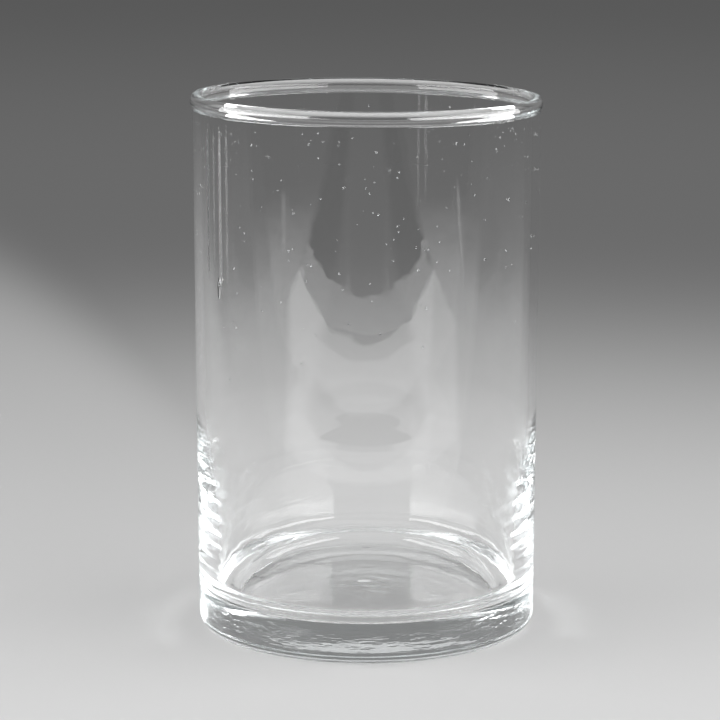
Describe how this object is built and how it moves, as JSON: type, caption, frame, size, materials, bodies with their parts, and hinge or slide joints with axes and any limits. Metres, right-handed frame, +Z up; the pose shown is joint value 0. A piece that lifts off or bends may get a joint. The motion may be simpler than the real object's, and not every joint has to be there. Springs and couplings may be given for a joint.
{
  "type": "tea glass",
  "caption": "Straight-sided clear drinking glass for tea, with a rounded rim, a thin wall that thickens downwards and a heavy base.",
  "frame": {"origin": "centre of the flat ring that the glass stands on", "axes": "+Z up along the axis of the glass, towards its mouth; X and Y are free, because the glass is round"},
  "size_m": [0.069, 0.069, 0.106],
  "materials": {
    "glass": "clear, smooth, fire-polished soda-lime glass"
  },
  "bodies": {
    "root": {"glass": "glass"}
  },
  "joints": []
}
